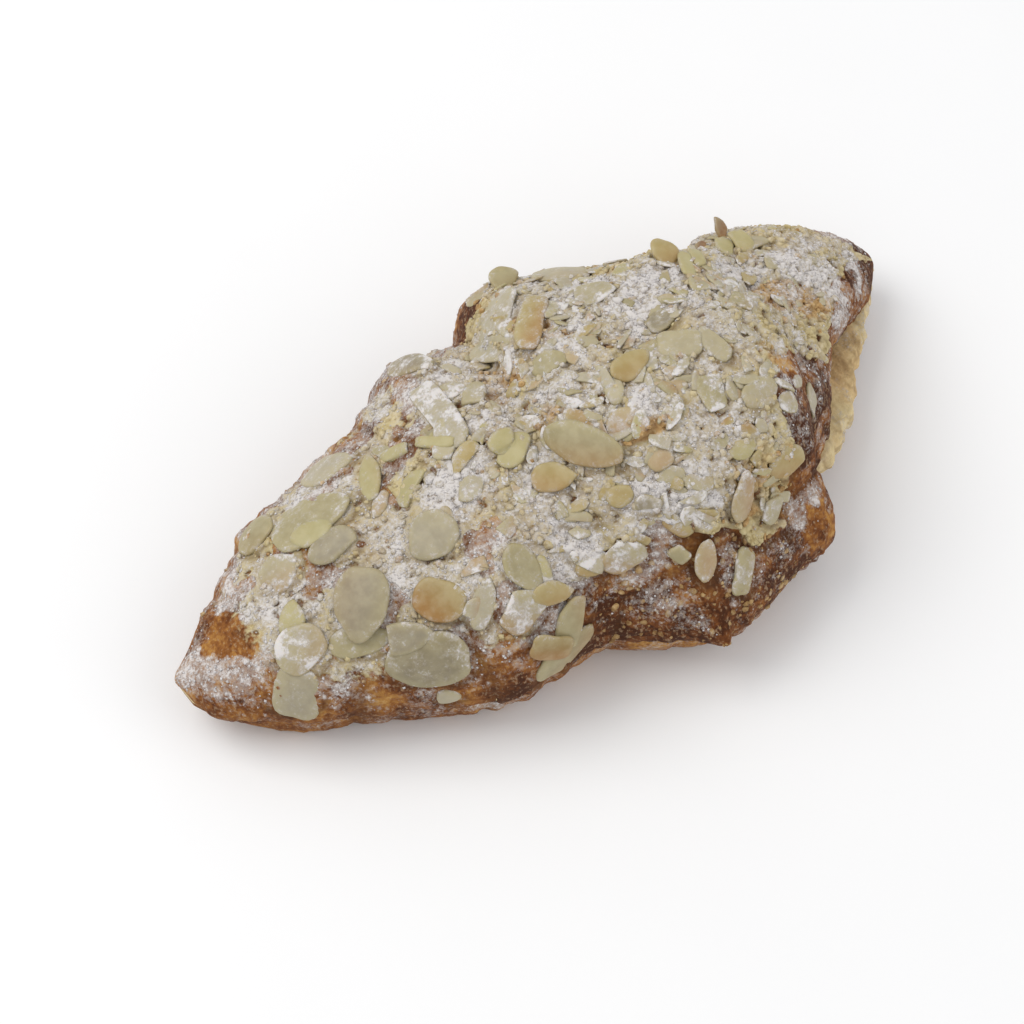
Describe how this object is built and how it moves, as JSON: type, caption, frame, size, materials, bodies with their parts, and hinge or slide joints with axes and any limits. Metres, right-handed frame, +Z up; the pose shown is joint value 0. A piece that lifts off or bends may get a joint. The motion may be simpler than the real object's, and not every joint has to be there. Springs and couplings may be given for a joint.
{
  "type": "almond croissant",
  "caption": "Baked almond croissant: a shallow crescent roll on a flat base, split by a layer of almond cream, its crown covered with almond flakes and sugar.",
  "frame": {"origin": "middle of the flat base, under the middle of the whole roll's box", "axes": "+X along the roll towards its narrow right tip, -Y towards the front, where the belly bows out and the cream shows, +Z up"},
  "size_m": [0.1616, 0.0842, 0.0493],
  "materials": {
    "topped_crust": "browned crust with baked almond cream, almond flakes and dusted sugar",
    "almond_cream": "baked almond cream, crumbly and matt",
    "baked_crust": "brown baked crust, slightly glossy"
  },
  "bodies": {
    "root": {"upper_half": "topped_crust", "almond_cream": "almond_cream", "lower_half": "baked_crust"}
  },
  "joints": []
}
